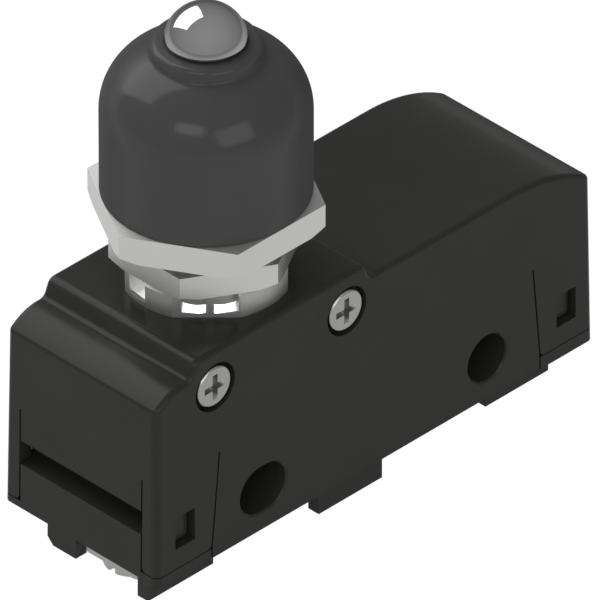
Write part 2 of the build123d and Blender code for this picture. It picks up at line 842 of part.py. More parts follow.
def build_nodes():
    """Every piece of the switch by its node name."""
    nodes = {
        "upper_housing": upper_housing(),
        "terminal_base": terminal_base(),
        "plunger_bush": plunger_bush(),
        "lower_lock_nut": hex_nut(lower_nut_flats, collar_top_z, lower_nut_thickness, 30),
        "panel_nut": hex_nut(panel_nut_flats, panel_nut_bottom_z, panel_nut_thickness, 0),
        "rubber_gaiter": rubber_gaiter(),
        "plunger": plunger(),
        "retaining_ring": retaining_ring(),
        "return_spring": coil(return_mean_radius, return_wire, return_turns, bush_top_z, seat_flange_z),
        "overtravel_spring": coil(
            overtravel_mean_radius, overtravel_wire, overtravel_turns, button_pin_top_z, stem_bore_top_z
        ),
        "actuator_button": actuator_button(),
        "snap_blade": snap_blade(),
        "moving_contact": moving_contact(),
        "common_terminal": common_terminal(),
        "open_terminal": open_terminal(),
        "closed_terminal": closed_terminal(),
        "bow_spring": bow_spring(),
        "open_contact": open_contact(),
        "closed_contact": closed_contact(),
    }
    for name, x in screw_xs.items():
        nodes[name + "_head_screw"] = head_screw(x)
    for turn, (name, x) in enumerate(terminal_xs.items()):
        nodes[name + "_terminal_screw"] = terminal_screw(x, terminal_turn_deg * turn)
        nodes[name + "_clamp_plate"] = clamp_plate(x)
    return nodes


os.makedirs("parts", exist_ok=True)
for node, shape in build_nodes().items():
    export_step(shape, "parts/" + node + ".step")
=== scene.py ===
# %% [markdown]
# A micro switch with a sealed plunger, of the kind that tells a machine when a moving part has arrived.
# The solids come as a fixed frame, in metres, with the plunger's axis upright.
# They could all be drawn again here, but they fit each other already, so most only get a finish.
# The soft and fine pieces are remade: the rubber boot, the springs, the thread, the screws and the notched bush.

# %% Load the frame
import json
from math import atan, cos, pi, radians, sin, sqrt

import bmesh
import bpy
from mathutils import Matrix, Vector


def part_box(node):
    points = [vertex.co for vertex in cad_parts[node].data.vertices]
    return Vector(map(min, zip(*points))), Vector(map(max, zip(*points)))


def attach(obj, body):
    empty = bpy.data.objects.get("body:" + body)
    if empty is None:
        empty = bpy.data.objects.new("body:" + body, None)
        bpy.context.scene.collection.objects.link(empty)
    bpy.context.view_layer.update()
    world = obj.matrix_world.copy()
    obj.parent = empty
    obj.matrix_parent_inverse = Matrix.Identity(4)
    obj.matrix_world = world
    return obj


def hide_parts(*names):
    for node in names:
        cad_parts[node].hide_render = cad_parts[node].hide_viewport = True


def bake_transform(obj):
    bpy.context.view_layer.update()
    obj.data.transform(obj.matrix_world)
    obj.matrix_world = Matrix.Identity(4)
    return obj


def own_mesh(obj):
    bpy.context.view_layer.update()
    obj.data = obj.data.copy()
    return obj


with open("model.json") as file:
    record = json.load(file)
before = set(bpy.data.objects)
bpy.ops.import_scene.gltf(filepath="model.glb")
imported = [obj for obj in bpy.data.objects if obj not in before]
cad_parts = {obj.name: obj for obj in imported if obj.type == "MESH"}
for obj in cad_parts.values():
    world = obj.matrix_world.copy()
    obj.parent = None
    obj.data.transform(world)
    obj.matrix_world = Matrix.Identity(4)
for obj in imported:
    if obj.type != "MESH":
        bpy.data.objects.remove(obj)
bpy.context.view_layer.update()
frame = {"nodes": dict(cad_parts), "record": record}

MM = 0.001
scene = bpy.context.scene
nodes = frame["nodes"]
print("nodes in the frame:", len(nodes))

# %% [markdown]
# The nuts, the boot, the springs and the dome all turn about the plunger's axis.
# Its place could be typed, but it is measured from the panel nut, so that it follows the solids.
# The heights where one piece meets the next are read from them in the same way.

# %% Places that the pieces share
panel_nut_low, panel_nut_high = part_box("panel_nut")
_, lock_nut_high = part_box("lower_lock_nut")
boot_low, boot_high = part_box("rubber_gaiter")
axis_x = (panel_nut_low.x + panel_nut_high.x) / 2
print("plunger axis at x =", round(axis_x / MM, 3), "mm")

# %% [markdown]
# The photograph is close to a parallel view, from the front left and 35 degrees above.
# A camera without perspective could draw it. A very long lens far away gives the same look,
# and it stays an ordinary camera that also works when it is swung round.

# %% Camera
VIEW_AZIMUTH = radians(-45)
VIEW_ELEVATION = radians(35.264)
LENS_MM = 1600
SENSOR_MM = 36
FIELD = 48.08 * MM
TARGET = Vector((0, 0, 14.4 * MM))
NEAREST = 0.01
FARTHEST = 4

camera_distance = FIELD * LENS_MM / SENSOR_MM
camera_data = bpy.data.cameras.new("camera")
camera_data.lens = LENS_MM
camera_data.sensor_width = SENSOR_MM
camera_data.clip_start = camera_distance * NEAREST
camera_data.clip_end = camera_distance * FARTHEST
camera = bpy.data.objects.new("camera", camera_data)
scene.collection.objects.link(camera)
level = cos(VIEW_ELEVATION)
outward = Vector((level * sin(VIEW_AZIMUTH), -level * cos(VIEW_AZIMUTH), sin(VIEW_ELEVATION)))
camera.location = TARGET + outward * camera_distance
camera.rotation_euler = outward.to_track_quat("Z", "Y").to_euler()
scene.camera = camera
scene.view_settings.view_transform = "Standard"
print("camera distance:", round(camera_distance, 3), "m")

# %% [markdown]
# Shaders and geometry trees are both built from nodes and links, which takes many lines when written out.
# They are easier to read when one short call adds a node and names what feeds it.
# A link is made when the value given is another node's output, and a plain value is set otherwise.

# %% Helpers for nodes
def add(tree, kind, inputs=None, **settings):
    """Add a node, set its properties, and feed its inputs with values or links."""
    node = tree.nodes.new(kind)
    for key, value in settings.items():
        setattr(node, key, value)
    for key, value in (inputs or {}).items():
        if isinstance(value, bpy.types.NodeSocket):
            tree.links.new(value, node.inputs[key])
        else:
            node.inputs[key].default_value = value
    return node


def calc(tree, operation, a, b=0.0, c=0.0):
    """One arithmetic step, as an output socket."""
    return add(tree, "ShaderNodeMath", {0: a, 1: b, 2: c}, operation=operation).outputs[0]


def ramp(tree, value, start, end, low, high):
    """A value carried evenly from one range to another, and held at its ends."""
    span = {"From Min": start, "From Max": end, "To Min": low, "To Max": high}
    return add(tree, "ShaderNodeMapRange", {"Value": value, **span}).outputs[0]


def blend_numbers(tree, share, a, b):
    """From number a to number b."""
    return add(tree, "ShaderNodeMix", {"Factor": share, 2: a, 3: b}).outputs[0]


def blend_tones(tree, share, a, b):
    """From colour a to colour b. The node keeps its colours in sockets of their own."""
    return add(tree, "ShaderNodeMix", {"Factor": share, 6: a, 7: b}, data_type="RGBA").outputs[2]


print("node helpers ready")

# %% [markdown]
# An effect that several finishes share is built once, as a group of nodes with named inputs and outputs.
# A group can't be filled before its sockets exist, so one call makes the empty group with all of them.

# %% Helper for groups
def new_group(name, inputs, outputs, kind="ShaderNodeTree"):
    """Empty node group with its sockets, and its input and output nodes."""
    tree = bpy.data.node_groups.new(name, kind)
    for label, socket, value in inputs:
        made = tree.interface.new_socket(label, in_out="INPUT", socket_type=socket)
        if value is not None:
            made.default_value = value
    for label, socket in outputs:
        tree.interface.new_socket(label, in_out="OUTPUT", socket_type=socket)
    return tree, tree.nodes.new("NodeGroupInput"), tree.nodes.new("NodeGroupOutput")


print("group helper ready")

# %% [markdown]
# The switch stands on a pale floor without an edge, as in a catalogue picture.
# More light could burn the floor out to white, but it would wash out the switch too,
# so the floor glows white to the camera alone and takes only a faint shadow.
# In reflections it is a softer grey that fades with distance, so that no hard horizon is drawn on the boot.

# %% Floor
FLOOR_SIZE = 6.0
FLOOR_TONE = (0.86, 0.86, 0.86, 1)
WHITE = (1, 1, 1, 1)
FLOOR_SHADOW = 0.03
FLOOR_TO_CAMERA = 1.03
MIRRORED_NEAR = 0.67
MIRRORED_FAR = 0.28
FADE_START = 0.08
FADE_END = 0.5


def floor_material():
    """White to the camera, a fading grey in reflections, and matt paint to the rest of the light."""
    material = bpy.data.materials.new("studio_floor")
    material.use_nodes = True
    tree = material.node_tree
    tree.nodes.clear()
    path = add(tree, "ShaderNodeLightPath").outputs
    seen = path["Is Camera Ray"]
    mirrored = calc(tree, "MAXIMUM", path["Is Glossy Ray"], path["Is Transmission Ray"])
    place = add(tree, "ShaderNodeTexCoord").outputs["Object"]
    away = add(tree, "ShaderNodeVectorMath", {0: place}, operation="LENGTH").outputs["Value"]
    fade = ramp(tree, away, FADE_START, FADE_END, MIRRORED_NEAR, MIRRORED_FAR)
    to_camera = calc(tree, "MULTIPLY", seen, FLOOR_TO_CAMERA)
    glow = calc(tree, "MULTIPLY_ADD", mirrored, fade, to_camera)
    even = add(tree, "ShaderNodeEmission", {"Color": WHITE, "Strength": glow})
    matt = add(tree, "ShaderNodeBsdfDiffuse", {"Color": FLOOR_TONE})
    share = calc(tree, "MULTIPLY", calc(tree, "MAXIMUM", seen, mirrored), 1 - FLOOR_SHADOW)
    mixed = add(tree, "ShaderNodeMixShader", {0: share, 1: matt.outputs[0], 2: even.outputs[0]})
    add(tree, "ShaderNodeOutputMaterial", {"Surface": mixed.outputs[0]})
    return material


bpy.ops.mesh.primitive_plane_add(size=FLOOR_SIZE)
floor = bpy.context.object
floor.name = "studio_floor"
floor.data.materials.append(floor_material())
print("floor:", FLOOR_SIZE, "m wide")

# %% [markdown]
# Grey air lights the switch from all round, a little brighter from the viewer's side.
# A picture of a studio could do it, but a plain gradient gives the same even tones and needs no file.

# %% Surrounding air
BRIGHT_SIDE = Vector((-0.45, -0.45, 0.77))
AIR_BEHIND = 0.20
AIR_IN_FRONT = 0.43

world = bpy.data.worlds.new("studio_air")
world.use_nodes = True
air = world.node_tree
direction = add(air, "ShaderNodeTexCoord").outputs["Generated"]
along = add(air, "ShaderNodeVectorMath", {0: direction, 1: BRIGHT_SIDE}, operation="DOT_PRODUCT")
air_glow = ramp(air, along.outputs["Value"], -1.0, 1.0, AIR_BEHIND, AIR_IN_FRONT)
air.nodes["Background"].inputs["Color"].default_value = WHITE
air.links.new(air_glow, air.nodes["Background"].inputs["Strength"])
scene.world = world
print("air:", AIR_BEHIND, "to", AIR_IN_FRONT)

# %% [markdown]
# Three soft windows draw the bright patches: one behind the switch, and two smaller ones in front.
# On the rubber boot all three show, but on the steel dome only the rear one does.
# Painted patches would slide off as the camera moves, so real lamps are used,
# and light linking keeps the front two off the plunger.
# The glow is the brightness of a window's face. A lamp asks for watts, which are glow x pi x area.

# %% Windows
WINDOW_DISTANCE = 0.7
windows = [
    # name, where it stands, width and height, glow, roll in degrees, whether it lights the plunger
    ("rear_window", (-0.08, 0.74, 0.67), (0.66, 0.68), 3.0, -30, True),
    ("front_window", (-0.22, -0.90, 0.37), (0.46, 0.36), 2.1, 6, False),
    ("left_window", (-0.75, -0.35, 0.56), (0.34, 0.20), 3.4, 0, False),
]

shaded = bpy.data.collections.new("kept_from_front_windows")
shaded.objects.link(nodes["plunger"])
shaded.collection_objects[0].light_linking.link_state = "EXCLUDE"

for name, toward, size, glow, roll, on_plunger in windows:
    light = bpy.data.lights.new(name, "AREA")
    light.shape = "RECTANGLE"
    light.size, light.size_y = size
    light.energy = glow * pi * light.size * light.size_y
    lamp = bpy.data.objects.new(name, light)
    scene.collection.objects.link(lamp)
    toward = Vector(toward).normalized()
    lamp.location = TARGET + toward * WINDOW_DISTANCE
    aim = toward.to_track_quat("Z", "Y").to_matrix() @ Matrix.Rotation(radians(roll), 3, "Z")
    lamp.rotation_euler = aim.to_euler()
    if not on_plunger:
        lamp.light_linking.receiver_collection = shaded
    print(name, round(light.energy, 3), "W")

# %% [markdown]
# Moulded and rolled surfaces are never quite even: they have a fine grain, and their tone drifts a little.
# A photograph of a surface could show that, but noise has no seams and stays sharp at any size.
# One group gives both, and each finish places it with its own grain size.

# %% Shared grain
GRAIN_PER_METRE = 6000.0
DRIFT_PER_METRE = 150.0


def build_grain_group():
    """Fine grain and slow drift, both from noise in the piece's own coordinates."""
    tree, given, result = new_group(
        "surface_grain",
        [
            ("Grain per metre", "NodeSocketFloat", GRAIN_PER_METRE),
            ("Drift per metre", "NodeSocketFloat", DRIFT_PER_METRE),
            ("Stretch", "NodeSocketVector", (1, 1, 1)),
        ],
        [("Grain", "NodeSocketFloat"), ("Drift", "NodeSocketFloat")],
    )
    place = add(tree, "ShaderNodeTexCoord").outputs["Object"]
    stretch = {0: place, 1: given.outputs["Stretch"]}
    stretched = add(tree, "ShaderNodeVectorMath", stretch, operation="MULTIPLY").outputs[0]
    fine = {"Vector": stretched, "Scale": given.outputs["Grain per metre"], "Detail": 3.0}
    slow = {"Vector": place, "Scale": given.outputs["Drift per metre"], "Detail": 4.0}
    for label, noise in (("Grain", fine), ("Drift", slow)):
        tree.links.new(add(tree, "ShaderNodeTexNoise", noise).outputs[0], result.inputs[label])
    return tree


surface_grain = build_grain_group()
print("group:", surface_grain.name)

# %% [markdown]
# Turned metal carries fine rings about the axis that it was turned on.
# They could be drawn with a wave texture, but that needs a direction for each face.
# Noise that depends only on the distance from the axis and on the height follows faces and barrels alike.

# %% Shared turning lines
LINES_PER_METRE = 7000.0


def build_turning_group():
    """Fine rings about an upright axis, for faces and for barrels."""
    tree, given, result = new_group(
        "turning_lines",
        [("Axis", "NodeSocketVector", (axis_x, 0, 0)), ("Lines per metre", "NodeSocketFloat", LINES_PER_METRE)],
        [("Lines", "NodeSocketFloat")],
    )
    from_axis = {0: add(tree, "ShaderNodeTexCoord").outputs["Object"], 1: given.outputs["Axis"]}
    moved = add(tree, "ShaderNodeVectorMath", from_axis, operation="SUBTRACT").outputs[0]
    parts = add(tree, "ShaderNodeSeparateXYZ", {0: moved}).outputs
    flat = add(tree, "ShaderNodeCombineXYZ", {0: parts[0], 1: parts[1]}).outputs[0]
    radius = add(tree, "ShaderNodeVectorMath", {0: flat}, operation="LENGTH").outputs["Value"]
    rings = add(tree, "ShaderNodeCombineXYZ", {0: radius, 1: parts[2]}).outputs[0]
    noise = {"Vector": rings, "Scale": given.outputs["Lines per metre"], "Detail": 2.0}
    tree.links.new(add(tree, "ShaderNodeTexNoise", noise).outputs[0], result.inputs["Lines"])
    return tree


turning_lines = build_turning_group()
print("group:", turning_lines.name)

# %% [markdown]
# Every finish starts the same way: a principled surface with a colour that drifts between two tones,
# a roughness that drifts with it, and a bump from the fine grain.
# Each material could be wired by hand, but one maker keeps them alike, and leaves only their numbers to choose.
# Numbers that are the same all over a piece are set on the shader itself.

# %% Material maker
def finish(name, dark, light, rough, bump, grain=GRAIN_PER_METRE, surface=None):
    """Material that drifts from dark to light. rough is (low, high), and bump is (strength, height)."""
    material = bpy.data.materials.new(name)
    material.use_nodes = True
    tree = material.node_tree
    shader = tree.nodes["Principled BSDF"].inputs
    for key, value in (surface or {}).items():
        shader[key].default_value = value
    noise = add(tree, "ShaderNodeGroup", node_tree=surface_grain)
    noise.inputs["Grain per metre"].default_value = grain
    drift = noise.outputs["Drift"]
    tree.links.new(blend_tones(tree, drift, (*dark, 1), (*light, 1)), shader["Base Color"])
    tree.links.new(ramp(tree, drift, 0.0, 1.0, *rough), shader["Roughness"])
    relief = {"Height": noise.outputs["Grain"], "Strength": bump[0], "Distance": bump[1]}
    tree.links.new(add(tree, "ShaderNodeBump", relief).outputs[0], shader["Normal"])
    return material


print("material maker ready")

# %% [markdown]
# Some finishes need one thing more: rings on a metal that was turned, or a gloss that fades towards the edges.
# Both could be options of the maker, but then every material would carry wires that it doesn't use.
# So they are added afterwards, by taking what feeds the shader and passing it through one more node.

# %% Turned metal and dull edges
def fed_by(material, name):
    """The shader's input of that name, and the output that feeds it now."""
    socket = material.node_tree.nodes["Principled BSDF"].inputs[name]
    return socket, socket.links[0].from_socket


def turned(material, depth):
    """Add turning lines under the grain of a metal."""
    tree = material.node_tree
    relief = next(node for node in tree.nodes if node.type == "BUMP")
    lines = add(tree, "ShaderNodeGroup", node_tree=turning_lines).outputs["Lines"]
    rings = add(tree, "ShaderNodeBump", {"Height": lines, "Strength": 1.0, "Distance": depth})
    tree.links.new(rings.outputs[0], relief.inputs["Normal"])
    return material


def dull_edges(material, start, end, rough):
    """Raise the roughness where a surface turns away from the eye."""
    tree = material.node_tree
    socket, even = fed_by(material, "Roughness")
    facing = add(tree, "ShaderNodeLayerWeight", {"Blend": 0.5}).outputs["Facing"]
    edge = ramp(tree, facing, start, end, 0.0, rough)
    tree.links.new(calc(tree, "MAXIMUM", even, edge), socket)
    return material


print("additions ready")

# %% [markdown]
# The cover and base are a black, glass-filled moulding with a fine eroded texture and little shine.
# The boot is smooth dark rubber that keeps soft reflections, and the button inside is plain, undyed plastic.
# An even gloss would put a bright line on every edge that is seen from the side.
# So the gloss fades there, as it does on a real surface with a fine texture.

# %% Plastic and rubber
finishes = {}
finishes["housing_plastic"] = dull_edges(
    finish(
        "black_moulding",
        (0.0228, 0.0228, 0.0214),
        (0.0288, 0.0288, 0.0272),
        (0.20, 0.29),
        (0.35, 0.02 * MM),
        grain=5200.0,
        surface={"Specular IOR Level": 0.12},
    ),
    start=0.55,
    end=0.85,
    rough=0.7,
)
finishes["gaiter_rubber"] = dull_edges(
    finish(
        "boot_rubber",
        (0.051, 0.0515, 0.0505),
        (0.060, 0.0605, 0.0593),
        (0.10, 0.17),
        (0.1, 0.006 * MM),
        grain=3500.0,
        surface={"Specular IOR Level": 0.14},
    ),
    start=0.3,
    end=0.6,
    rough=1.0,
)
finishes["button_plastic"] = finish(
    "natural_moulding",
    (0.68, 0.67, 0.62),
    (0.75, 0.74, 0.70),
    (0.38, 0.5),
    (0.2, 0.01 * MM),
)
print("finishes:", len(finishes))

# %% [markdown]
# The nuts and the bush are plated with nickel over turned metal. The lower nut has a duller plating,
# and the bush was cast before it was turned. Three materials from one maker show that, without a picture of metal.
# The dome is polished steel. Its edge is dulled a little, because a perfect mirror would show the floor as a ring.

# %% Nickel and polished steel
METAL = {"Metallic": 1.0}
NICKEL = ((0.685, 0.695, 0.66), (0.765, 0.775, 0.74))
NICKEL_GRAIN = (0.15, 0.006 * MM)
NICKEL_LINES = 0.004 * MM
CAST_LINES = 0.006 * MM

satin_nickel = finish("satin_nickel", *NICKEL, (0.15, 0.23), NICKEL_GRAIN, surface=METAL)
matt_nickel = finish("matt_nickel", *NICKEL, (0.34, 0.4), NICKEL_GRAIN, surface=METAL)
cast_bush = finish(
    "cast_bush", (0.52, 0.525, 0.51), (0.62, 0.625, 0.61), (0.45, 0.58), (0.35, 0.01 * MM), surface=METAL
)
turned(satin_nickel, NICKEL_LINES)
turned(matt_nickel, NICKEL_LINES)
turned(cast_bush, CAST_LINES)
finishes["nickel"] = satin_nickel
finishes["polished_steel"] = dull_edges(
    finish(
        "mirror_steel",
        (0.485, 0.49, 0.485),
        (0.54, 0.545, 0.54),
        (0.05, 0.1),
        (0.05, 0.001 * MM),
        surface={**METAL, "Specular Tint": (0.35, 0.35, 0.35, 1)},
    ),
    start=0.6,
    end=0.9,
    rough=0.3,
)
print("finishes:", len(finishes))

# %% [markdown]
# The other metals differ only in colour, polish and grain: bright zinc on the screws, drawn wire in the springs,
# and brass, copper and silver in the contacts. A table says that more plainly than five separate calls.

# %% Other metals
plain_metals = {
    # slot: name, dark tone, light tone, roughness, bump
    "zinc": ("bright_zinc", (0.42, 0.425, 0.41), (0.50, 0.505, 0.49), (0.26, 0.4), (0.3, 0.008 * MM)),
    "spring_steel": ("drawn_wire", (0.40, 0.41, 0.42), (0.55, 0.56, 0.57), (0.25, 0.38), (0.3, 0.004 * MM)),
    "brass": ("stamped_brass", (0.62, 0.45, 0.19), (0.74, 0.56, 0.27), (0.28, 0.42), (0.3, 0.006 * MM)),
    "spring_copper": ("rolled_copper", (0.62, 0.33, 0.15), (0.74, 0.44, 0.24), (0.24, 0.36), (0.3, 0.005 * MM)),
    "contact_silver": ("contact_silver", (0.74, 0.74, 0.72), (0.84, 0.84, 0.82), (0.2, 0.34), (0.2, 0.004 * MM)),
}
for slot, numbers in plain_metals.items():
    finishes[slot] = finish(*numbers, surface=METAL)
print("finishes:", len(finishes))

# %% [markdown]
# Some faces of one slope are worked differently from the rest of their piece.
# The notches in the bush's collar are milled after casting, so their sloping floors are smoother, and their
# near-white colour is a painted highlight for the light they catch.
# The flat tops of the nuts are ground, so they are duller than the sides.
# Each such face could get a material of its own, but no other face of those pieces has the same slope,
# so the upright part of the normal picks them out, and the piece keeps one material.

# %% Faces worked after casting, and the painted highlight on the notch floors
NOTCH_SLOPE = 0.60
NOTCH_ROUGH = 0.3
# The notch floors' near-white colour is a painted highlight.
NOTCH_HIGHLIGHT_TONE = (0.95, 0.95, 0.94)
TOP_SLOPE = 1.0
TOP_ROUGH = 0.6
SLOPE_MARGIN = 0.08


def work_and_highlight_faces(material, slope, rough, tone=None):
    """Give the faces of one slope their own roughness, and a painted highlight colour if one is given."""
    tree = material.node_tree
    normal = add(tree, "ShaderNodeTexCoord").outputs["Normal"]
    upright = add(tree, "ShaderNodeSeparateXYZ", {0: normal}).outputs[2]
    worked_and_highlit = calc(tree, "COMPARE", upright, slope, SLOPE_MARGIN)
    socket, even = fed_by(material, "Roughness")
    tree.links.new(blend_numbers(tree, worked_and_highlit, even, rough), socket)
    if tone:
        socket, even = fed_by(material, "Base Color")
        tree.links.new(blend_tones(tree, worked_and_highlit, even, (*tone, 1)), socket)


# The notch floors get a smoother roughness and a near-white painted highlight colour.
work_and_highlight_faces(cast_bush, NOTCH_SLOPE, NOTCH_ROUGH, NOTCH_HIGHLIGHT_TONE)
work_and_highlight_faces(satin_nickel, TOP_SLOPE, TOP_ROUGH)
print("worked:", cast_bush.name, satin_nickel.name)

# %% [markdown]
# Each solid of the switch names the slot of its finish, so one loop can dress them all.
# Two pieces share the nickel slot but not its look: the cast bush and the duller lower nut.

# %% Give every solid its finish
slot_of = {row["node"]: row["material_slot"] for row in frame["record"]["subparts"]}
own_finish = {"plunger_bush": cast_bush, "lower_lock_nut": matt_nickel}
for name, piece in nodes.items():
    piece.data.materials.clear()
    piece.data.materials.append(own_finish.get(name, finishes[slot_of[name]]))
print("solids dressed:", len(nodes))

# %% [markdown]
# Pieces whose corners are listed one by one all end the same way.
# Two loops of corners are joined by a band of faces, the faces are turned outward, and the mesh gets its object.
# Blender's own Spin tool could do part of it, but it leaves doubled corners where the ends meet.

# %% Helpers for pieces whose corners are listed
def join_loops(shape, one, other, closed=True):
    """Faces between two rows of corners. A closed row also joins its last corner to its first."""
    count = len(one)
    for i in range(count if closed else count - 1):
        j = (i + 1) % count
        shape.faces.new((one[i], other[i], other[j], one[j]))


def close_shape(name, shape):
    """Turn the faces outward and keep the shape as a mesh."""
    bmesh.ops.recalc_face_normals(shape, faces=shape.faces)
    mesh = bpy.data.meshes.new(name)
    shape.to_mesh(mesh)
    shape.free()
    return mesh


def link_mesh(name, mesh, material):
    """New object for a mesh, with one material."""
    mesh.materials.clear()
    mesh.materials.append(material)
    piece = bpy.data.objects.new(name, mesh)
    scene.collection.objects.link(piece)
    return piece


print("helpers for listed pieces ready")

# %% [markdown]
# A moulded round piece is one outline spun about the plunger's axis.
# A modifier could spin it. Written out, every ring has the same number of corners and the seam is closed.

# %% Helpers for round pieces
RING_STEPS = 192


def spin(name, outline, material):
    """Spin a closed (r, z) outline about the plunger's axis, as a hollow ring."""
    shape = bmesh.new()
    rings = []
    for step in range(RING_STEPS):
        turn = 2 * pi * step / RING_STEPS
        rings.append([shape.verts.new((axis_x + r * cos(turn), r * sin(turn), z)) for r, z in outline])
    for step, ring in enumerate(rings):
        join_loops(shape, ring, rings[(step + 1) % RING_STEPS])
    for face in shape.faces:
        face.smooth = True
    return link_mesh(name, close_shape(name, shape), material)


def arc(centre, radius, start, end, steps):
    """Points of a round stretch from one angle to another, in degrees."""
    points = []
    for step in range(steps + 1):
        turn = radians(start + (end - start) * step / steps)
        points.append((centre[0] + radius * cos(turn), centre[1] + radius * sin(turn)))
    return points


print("round pieces have", RING_STEPS, "steps")

# %% [markdown]
# The boot is a soft dome with a straight skirt, a hollow crease and a raised lip that grips the plunger.
# It keeps water and dust out of the switch.
# Its solid could be kept, but its corners are sharp, so the outline is drawn again with every corner softened.

# %% Outline of the boot
SKIRT_RADIUS = 8.56 * MM
SKIRT_RINGS = 12
SHOULDER_RADIUS = 5.6 * MM
SHOULDER_Z = 38.3 * MM
BOOT_WALL = 1.2 * MM
BOOT_FOOT = 1.45 * MM
FOOT_ROUND = 0.2 * MM
INNER_RINGS = 10
GRIP_RADIUS = 5.7 * MM
LIP_RADIUS = 4.5 * MM
LIP_BORE = 2.8 * MM
LIP_ROUND = 0.5 * MM
CREASE_ROUND = 0.35 * MM
LIP_FLOOR = 42.45 * MM


def boot_outside(base, top, centre):
    """From the foot up the skirt, over the shoulder and the crease to the lip."""
    crease_r = LIP_RADIUS + CREASE_ROUND
    crease_z = SHOULDER_Z + sqrt((SHOULDER_RADIUS + CREASE_ROUND) ** 2 - (crease_r - centre[0]) ** 2)
    meet = atan((crease_z - SHOULDER_Z) / (crease_r - centre[0])) * 180 / pi
    outline = arc((SKIRT_RADIUS - FOOT_ROUND, base + FOOT_ROUND), FOOT_ROUND, -90, 0, steps=4)
    skirt = SHOULDER_Z - base
    outline += [(SKIRT_RADIUS, base + skirt * i / SKIRT_RINGS) for i in range(1, SKIRT_RINGS)]
    outline += arc(centre, SHOULDER_RADIUS, 0, meet, steps=28)
    outline += arc((crease_r, crease_z), CREASE_ROUND, meet + 180, 180, steps=5)[1:]
    outline += arc((LIP_RADIUS - LIP_ROUND, top - LIP_ROUND), LIP_ROUND, 0, 90, steps=6)
    outline += arc((LIP_BORE + LIP_ROUND, top - LIP_ROUND), LIP_ROUND, 90, 180, steps=6)
    return outline


def boot_inside(base, centre):
    """From the lip's floor down the inner wall to the foot."""
    inner = SHOULDER_RADIUS - BOOT_WALL
    low_r = centre[0] + sqrt(inner**2 - (LIP_FLOOR - SHOULDER_Z) ** 2)
    start = atan((LIP_FLOOR - SHOULDER_Z) / (low_r - centre[0])) * 180 / pi
    foot_top = base + BOOT_FOOT
    inner_r = SKIRT_RADIUS - BOOT_WALL
    wall = SHOULDER_Z - foot_top
    outline = [(LIP_BORE, LIP_FLOOR)] + arc(centre, inner, start, 0, steps=18)
    outline += [(inner_r, foot_top + wall * i / INNER_RINGS) for i in range(INNER_RINGS - 1, -1, -1)]
    outline += [(GRIP_RADIUS, foot_top), (GRIP_RADIUS, base)]
    return outline


shoulder = (SKIRT_RADIUS - SHOULDER_RADIUS, SHOULDER_Z)
outline = boot_outside(boot_low.z, boot_high.z, shoulder) + boot_inside(boot_low.z, shoulder)
print("boot outline:", len(outline), "corners")

# %% [markdown]
# The boot's skirt stays with the housing and its lip travels with the plunger.
# If it rode on one of them, it would part from the other. Here it is spun in place and rides on neither.

# %% Rubber boot
boot = spin("gaiter_boot", outline, finishes["gaiter_rubber"])
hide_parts("rubber_gaiter")
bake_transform(boot)
print("boot:", len(boot.data.polygons), "faces")

# %% [markdown]
# Anything that repeats or follows a rule is grown with geometry nodes.
# Their modifier could stay on the piece, but the finished piece has to be a plain mesh,
# so a helper sets the tree's named inputs, reads back the mesh and drops the modifier.

# %% Helpers that grow a piece from a node tree
def grow(name, tree, values, material):
    """Run a geometry node tree once and keep its result as a plain mesh."""
    seed = bpy.data.objects.new(name + "_seed", bpy.data.meshes.new(name + "_seed"))
    scene.collection.objects.link(seed)
    modifier = seed.modifiers.new("grow", "NODES")
    modifier.node_group = tree
    wanted = {**values, "Finish": material}
    for item in tree.interface.items_tree:
        if item.item_type == "SOCKET" and item.in_out == "INPUT" and item.name in wanted:
            modifier[item.identifier] = wanted[item.name]
    graph = bpy.context.evaluated_depsgraph_get()
    mesh = bpy.data.meshes.new_from_object(seed.evaluated_get(graph), depsgraph=graph)
    bpy.data.objects.remove(seed)
    mesh.name = name
    return link_mesh(name, mesh, material)


def close_tree(tree, result, geometry, finish_socket):
    """Realize instances, set the material and hand the geometry on."""
    real = add(tree, "GeometryNodeRealizeInstances", {0: geometry}).outputs[0]
    dressed = add(tree, "GeometryNodeSetMaterial", {"Geometry": real, "Material": finish_socket})
    tree.links.new(dressed.outputs[0], result.inputs[0])


print("grow() ready")

# %% [markdown]
# A compression spring is one wire wound on a rising spiral, with its end turns lying flat on the seats.
# Blender's spiral curve rises evenly from end to end, which would leave the ends sticking up.
# So the height comes from how far along the wire a point is: flat, then a steady climb, then flat again.

# %% Spring tree
WIRE_SIDES = 14


